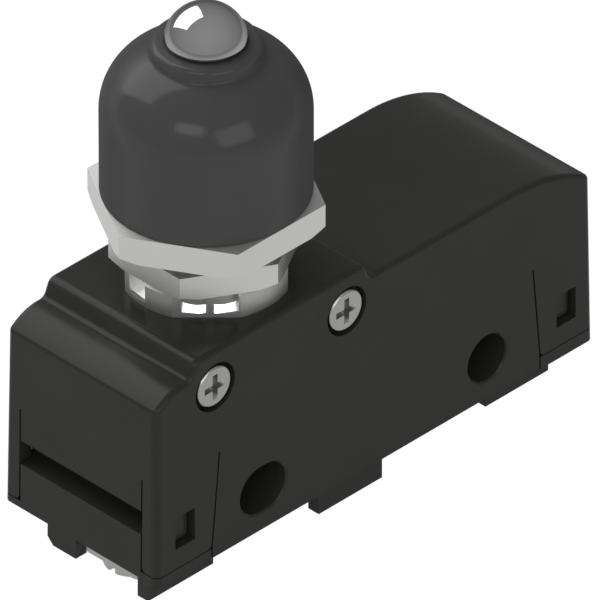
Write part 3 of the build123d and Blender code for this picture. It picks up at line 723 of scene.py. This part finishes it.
def build_spring_tree():
    """Wire on a rising spiral with closed ends."""
    tree, given, result = new_group(
        "wound_spring",
        [
            ("Coil radius", "NodeSocketFloat", 0.003),
            ("Wire radius", "NodeSocketFloat", 0.0002),
            ("Turns", "NodeSocketFloat", 5.0),
            ("Bottom", "NodeSocketFloat", 0.0),
            ("Top", "NodeSocketFloat", 0.01),
            ("Axis x", "NodeSocketFloat", 0.0),
            ("Steps per turn", "NodeSocketInt", 48),
            ("Finish", "NodeSocketMaterial", None),
        ],
        [("Geometry", "NodeSocketGeometry")],
        "GeometryNodeTree",
    )
    turns = given.outputs["Turns"]
    wire = given.outputs["Wire radius"]
    coil = given.outputs["Coil radius"]
    winding = {"Resolution": given.outputs["Steps per turn"], "Rotations": turns, "Height": 0.0}
    spiral = add(tree, "GeometryNodeCurveSpiral", {**winding, "Start Radius": coil, "End Radius": coil})
    along = add(tree, "GeometryNodeSplineParameter").outputs["Factor"]
    wound = calc(tree, "MULTIPLY", along, turns)
    left = calc(tree, "SUBTRACT", turns, wound)
    open_turns = calc(tree, "SUBTRACT", turns, 2.0)
    rise = ramp(tree, calc(tree, "SUBTRACT", wound, 1.0), 0.0, open_turns, 0.0, 1.0)
    wire_width = calc(tree, "MULTIPLY", wire, 2.0)
    first = calc(tree, "MULTIPLY", calc(tree, "MINIMUM", wound, 1.0), wire_width)
    last = calc(tree, "MULTIPLY", calc(tree, "MINIMUM", left, 1.0), wire_width)
    low = calc(tree, "ADD", calc(tree, "ADD", given.outputs["Bottom"], wire), first)
    high = calc(tree, "SUBTRACT", calc(tree, "SUBTRACT", given.outputs["Top"], wire), last)
    height = calc(tree, "MULTIPLY_ADD", rise, calc(tree, "SUBTRACT", high, low), low)
    offset = add(tree, "ShaderNodeCombineXYZ", {0: given.outputs["Axis x"], 2: height}).outputs[0]
    placed = add(tree, "GeometryNodeSetPosition", {"Geometry": spiral.outputs[0], "Offset": offset})
    section = add(tree, "GeometryNodeCurvePrimitiveCircle", {"Resolution": WIRE_SIDES, "Radius": wire})
    curves = {"Curve": placed.outputs[0], "Profile Curve": section.outputs[0]}
    swept = add(tree, "GeometryNodeCurveToMesh", {**curves, "Fill Caps": True})
    close_tree(tree, result, swept.outputs[0], given.outputs["Finish"])
    return tree


spring_tree = build_spring_tree()
print("tree:", spring_tree.name)

# %% [markdown]
# Two such springs are in the switch. The return spring pushes the plunger up,
# so its foot stays with the housing and its head travels. It is set in place and rides on neither.
# The overtravel spring stands on the button inside the plunger's stem and takes up the last of the travel.
# Its foot moves with the button, so it rides on it.

# %% Springs
RETURN_WIRE = 0.25 * MM
RETURN_TURNS = 6.5
OVERTRAVEL_WIRE = 0.2 * MM
OVERTRAVEL_TURNS = 10.0


def spring(name, node, wire_radius, turns):
    """Spring that fills the room of its solid."""
    low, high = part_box(node)
    values = {
        "Coil radius": (high.y - low.y) / 2 - wire_radius,
        "Wire radius": wire_radius,
        "Turns": turns,
        "Bottom": low.z,
        "Top": high.z,
        "Axis x": axis_x,
    }
    piece = grow(name, spring_tree, values, finishes["spring_steel"])
    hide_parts(node)
    print(name, len(piece.data.polygons), "faces")
    return piece, low, high


return_coil, coil_low, coil_high = spring("return_coil", "return_spring", RETURN_WIRE, RETURN_TURNS)
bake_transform(return_coil)
inner_coil, inner_low, _ = spring("overtravel_coil", "overtravel_spring", OVERTRAVEL_WIRE, OVERTRAVEL_TURNS)
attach(inner_coil, "button")
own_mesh(inner_coil)

# %% [markdown]
# The bow spring spans from a fixed anchor to the blade and makes it snap, so it bends with the blade.
# Its solid has the right shape, and could only ride on one body as it is.
# A copy of its mesh is made with the corners of its loose triangles merged, and set in place without riding on
# either body.

# %% Bow spring
SHARP_ANGLE = radians(30)
WELD = 0.001 * MM


def welded_copy(name, node):
    """Copy of a solid's mesh with its corners merged and its hard edges kept."""
    shape = bmesh.new()
    shape.from_mesh(nodes[node].data)
    bmesh.ops.remove_doubles(shape, verts=shape.verts, dist=WELD)
    for face in shape.faces:
        face.smooth = True
    mesh = bpy.data.meshes.new(name)
    shape.to_mesh(mesh)
    shape.free()
    old_normals = mesh.attributes.get("custom_normal")
    if old_normals:
        mesh.attributes.remove(old_normals)
    mesh.set_sharp_from_angle(angle=SHARP_ANGLE)
    piece = link_mesh(name, mesh, finishes[slot_of[node]])
    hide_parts(node)
    return piece


bow = welded_copy("bow_strip", "bow_spring")
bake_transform(bow)
print("bow strip:", len(bow.data.polygons), "faces")

# %% [markdown]
# The barrel between the two nuts shows its thread. A profile swept along a helix could make one,
# but its turns would overlap where they meet. Here a flat grid is wrapped round the axis,
# and its radius is a triangle wave of height and angle, which is all that a screw thread is.

# %% Thread tree
def build_thread_tree():
    """Sleeve whose surface is a screw thread."""
    tree, given, result = new_group(
        "screw_thread",
        [
            ("Core radius", "NodeSocketFloat", 0.0055),
            ("Crest height", "NodeSocketFloat", 0.0004),
            ("Pitch", "NodeSocketFloat", 0.001),
            ("Bottom", "NodeSocketFloat", 0.0),
            ("Length", "NodeSocketFloat", 0.002),
            ("Axis x", "NodeSocketFloat", 0.0),
            ("Around", "NodeSocketInt", 145),
            ("Along", "NodeSocketInt", 40),
            ("Finish", "NodeSocketMaterial", None),
        ],
        [("Geometry", "NodeSocketGeometry")],
        "GeometryNodeTree",
    )
    corners = {"Vertices X": given.outputs["Around"], "Vertices Y": given.outputs["Along"]}
    grid = add(tree, "GeometryNodeMeshGrid", {"Size X": 1.0, "Size Y": 1.0, **corners})
    position = add(tree, "GeometryNodeInputPosition").outputs[0]
    place = add(tree, "ShaderNodeSeparateXYZ", {0: position}).outputs
    share = calc(tree, "ADD", place[0], 0.5)
    rise = calc(tree, "MULTIPLY", calc(tree, "ADD", place[1], 0.5), given.outputs["Length"])
    phase = calc(tree, "SUBTRACT", calc(tree, "DIVIDE", rise, given.outputs["Pitch"]), share)
    wave = calc(tree, "MULTIPLY", calc(tree, "PINGPONG", phase, 0.5), 2.0)
    radius = calc(tree, "MULTIPLY_ADD", wave, given.outputs["Crest height"], given.outputs["Core radius"])
    turn = calc(tree, "MULTIPLY", share, 2 * pi)
    x = calc(tree, "MULTIPLY_ADD", calc(tree, "COSINE", turn), radius, given.outputs["Axis x"])
    y = calc(tree, "MULTIPLY", calc(tree, "SINE", turn), radius)
    z = calc(tree, "ADD", rise, given.outputs["Bottom"])
    spot = add(tree, "ShaderNodeCombineXYZ", {0: x, 1: y, 2: z}).outputs[0]
    wrapped = add(tree, "GeometryNodeSetPosition", {"Geometry": grid.outputs[0], "Position": spot})
    closed = add(tree, "GeometryNodeMergeByDistance", {"Geometry": wrapped.outputs[0], "Distance": WELD})
    close_tree(tree, result, closed.outputs[0], given.outputs["Finish"])
    return tree


thread_tree = build_thread_tree()
print("tree:", thread_tree.name)

# %% [markdown]
# The bush is an M12 barrel with a pitch of 1 mm. Its solid has a plain cylinder there, a little under the crests.
# The sleeve is laid over the stretch that shows and reaches a little into both nuts, so no end of it is seen.

# %% Thread between the nuts
BARREL_RADIUS = 5.67 * MM
THREAD_RADIUS = 6.0 * MM
THREAD_PITCH = 1.0 * MM
INTO_NUT = 0.15 * MM
thread = grow(
    "barrel_thread",
    thread_tree,
    {
        "Core radius": BARREL_RADIUS - INTO_NUT,
        "Crest height": THREAD_RADIUS - BARREL_RADIUS + INTO_NUT,
        "Pitch": THREAD_PITCH,
        "Bottom": lock_nut_high.z - INTO_NUT,
        "Length": panel_nut_low.z - lock_nut_high.z + 2 * INTO_NUT,
        "Axis x": axis_x,
    },
    finishes["nickel"],
)
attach(thread, "housing")
print("thread:", len(thread.data.polygons), "faces")

# %% [markdown]
# A screw is turned first, and then its drive is pressed or cut into the head.
# It is made in the same order: a spun outline, closed to a point at both ends, and a prism cut out of it.
# Drawing the recess face by face would be exact too, but a cut is shorter and easy to change.

# %% Helpers for turned screws
SCREW_STEPS = 64
FACE_RINGS = (0.125, 0.25, 0.375, 0.5, 0.625)


def screw_outline(head_radius, head_height, rim, shank_radius, length):
    """Outline from the middle of the head's face to the middle of the shank's end."""
    outline = [(0, 0)]
    outline += [(head_radius * share, 0) for share in FACE_RINGS]
    outline += arc((head_radius - rim, rim), rim, -90, 0, steps=6)
    outline += [(head_radius, head_height), (shank_radius, head_height)]
    outline += [(shank_radius, length - rim), (shank_radius - rim, length), (0, length)]
    return outline


def lathe(name, outline, material, place):
    """Spin an (r, along) outline from axis point to axis point, then put it in place."""
    shape = bmesh.new()
    first = shape.verts.new((0, 0, outline[0][1]))
    final = shape.verts.new((0, 0, outline[-1][1]))
    rings = []
    for step in range(SCREW_STEPS):
        turn = 2 * pi * step / SCREW_STEPS
        rings.append([shape.verts.new((r * cos(turn), r * sin(turn), z)) for r, z in outline[1:-1]])
    for step, here in enumerate(rings):
        there = rings[(step + 1) % SCREW_STEPS]
        shape.faces.new((first, there[0], here[0]))
        shape.faces.new((final, here[-1], there[-1]))
        join_loops(shape, here, there, closed=False)
    mesh = close_shape(name, shape)
    mesh.transform(place)
    return link_mesh(name, mesh, material)


print("screws have", SCREW_STEPS, "steps")

# %% [markdown]
# Both drives are prisms sunk into the head: a plus sign for the cross recess and a bar for the slot.
# The cutter starts a little above the head's face, because two faces at the same height make a ragged cut.

# %% Helpers for the drives
ABOVE_FACE = 0.25


def prism(name, outline, depth, narrow, place):
    """Upright prism from above the face to a depth, its foot narrowed by a factor."""
    shape = bmesh.new()
    top = [shape.verts.new((x, y, -depth * ABOVE_FACE)) for x, y in outline]
    foot = [shape.verts.new((x * narrow, y * narrow, depth)) for x, y in outline]
    shape.faces.new(top)
    shape.faces.new(foot)
    join_loops(shape, top, foot)
    mesh = close_shape(name, shape)
    mesh.transform(place)
    return link_mesh(name, mesh, finishes["zinc"])


def cut(piece, cutter):
    """Cut one piece out of another and keep the result as a plain mesh."""
    modifier = piece.modifiers.new("drive", "BOOLEAN")
    modifier.object = cutter
    modifier.operation = "DIFFERENCE"
    modifier.solver = "EXACT"
    graph = bpy.context.evaluated_depsgraph_get()
    mesh = bpy.data.meshes.new_from_object(piece.evaluated_get(graph), depsgraph=graph)
    piece.modifiers.clear()
    piece.data = mesh
    mesh.name = piece.name
    bpy.data.objects.remove(cutter)
    for face in mesh.polygons:
        face.use_smooth = True
    mesh.set_sharp_from_angle(angle=SHARP_ANGLE)


def seat_screw(screw, node):
    """Put a finished screw in the place of its solid."""
    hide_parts(node)
    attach(screw, "housing")
    print(screw.name, len(screw.data.polygons), "faces")


print("drive helpers ready")

# %% [markdown]
# Two screws with a cross recess hold the bush in the cover. Their heads lie in the long front face.
# The wings of the recess narrow as they go in, as the tip of the driver does.

# %% Head screws
HEAD_HEIGHT = 0.9 * MM
HEAD_RIM = 0.28 * MM
HEAD_SHANK = 1.1 * MM
WING_LENGTH = 1.25 * MM
WING_WIDTH = 0.3 * MM
RECESS_DEPTH = 0.55 * MM
RECESS_NARROW = 0.7


def cross_outline(length, width):
    """Twelve corners of a cross, wings along both axes."""
    quarter = [(length, width), (width, width), (width, length)]
    corners = []
    for _ in range(4):
        corners += quarter
        quarter = [(-y, x) for x, y in quarter]
    return corners


for side in ("left", "right"):
    node = side + "_head_screw"
    low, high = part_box(node)
    place = Matrix.Translation(((low.x + high.x) / 2, low.y, (low.z + high.z) / 2))
    place @= Matrix.Rotation(radians(-90), 4, "X")
    outline = screw_outline((high.x - low.x) / 2, HEAD_HEIGHT, HEAD_RIM, HEAD_SHANK, high.y - low.y)
    screw = lathe(side + "_cross_screw", outline, finishes["zinc"], place)
    cut(screw, prism("recess", cross_outline(WING_LENGTH, WING_WIDTH), RECESS_DEPTH, RECESS_NARROW, place))
    seat_screw(screw, node)

# %% [markdown]
# The wires are held by three pan-head screws under the base. They have a plain slot,
# and each is left at another angle, because screws that were tightened by hand never line up.

# %% Terminal screws
PAN_HEIGHT = 1.0 * MM
PAN_RIM = 0.42 * MM
PAN_SHANK = 1.5 * MM
SLOT_WIDTH = 0.86 * MM
SLOT_DEPTH = 0.7 * MM
SLOT_NARROW = 1.0
TURN_STEP = radians(35)

for index, name in enumerate(("common", "open", "closed")):
    node = name + "_terminal_screw"
    low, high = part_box(node)
    radius = (high.x - low.x) / 2
    place = Matrix.Translation(((low.x + high.x) / 2, (low.y + high.y) / 2, low.z))
    place @= Matrix.Rotation(TURN_STEP * index, 4, "Z")
    outline = screw_outline(radius, PAN_HEIGHT, PAN_RIM, PAN_SHANK, high.z - low.z)
    screw = lathe(name + "_slotted_screw", outline, finishes["zinc"], place)
    bar = [(radius * 2, SLOT_WIDTH / 2), (-radius * 2, SLOT_WIDTH / 2)]
    bar += [(-x, -y) for x, y in bar]
    cut(screw, prism("slot", bar, SLOT_DEPTH, SLOT_NARROW, place))
    seat_screw(screw, node)

# %% [markdown]
# The bush's collar has notches for a spanner. Its solid has the two in front,
# and the photograph shows one more on the left, which is small enough to be cut here.
# A solid's own mesh is never changed, so a wedge with the same sloping floor is cut out of a copy of it.
# The copy's sharp angle is finer than elsewhere, because the walls of the notch meet narrow facets.

# %% Third notch in the collar
NOTCH_TURN = radians(173)
NOTCH_WIDTH = 2.0 * MM
NOTCH_LEAN = radians(42)
NOTCH_FOOT = (6.65 * MM, 22.95 * MM)
NOTCH_CORE = 5.75 * MM
NOTCH_REACH = 7.6 * MM
COLLAR_TOP = 25.0 * MM
FINE_ANGLE = radians(12)

foot_r, foot_z = NOTCH_FOOT
core_z = foot_z + (foot_r - NOTCH_CORE) * cos(NOTCH_LEAN) / sin(NOTCH_LEAN)
profile = [
    (foot_r, foot_z),
    (NOTCH_CORE, core_z),
    (NOTCH_CORE, COLLAR_TOP),
    (NOTCH_REACH, COLLAR_TOP),
    (NOTCH_REACH, foot_z),
]
shape = bmesh.new()
ends = [[shape.verts.new((r, side * NOTCH_WIDTH / 2, z)) for r, z in profile] for side in (-1, 1)]
for end in ends:
    shape.faces.new(end)
join_loops(shape, *ends)
wedge = close_shape("notch_wedge", shape)
wedge.transform(Matrix.Translation((axis_x, 0, 0)) @ Matrix.Rotation(NOTCH_TURN, 4, "Z"))

casting = welded_copy("bush_casting", "plunger_bush")
casting.data.materials[0] = cast_bush
cut(casting, link_mesh("notch_wedge", wedge, cast_bush))
casting.data.set_sharp_from_angle(angle=FINE_ANGLE)
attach(casting, "housing")
print("bush casting:", len(casting.data.polygons), "faces")
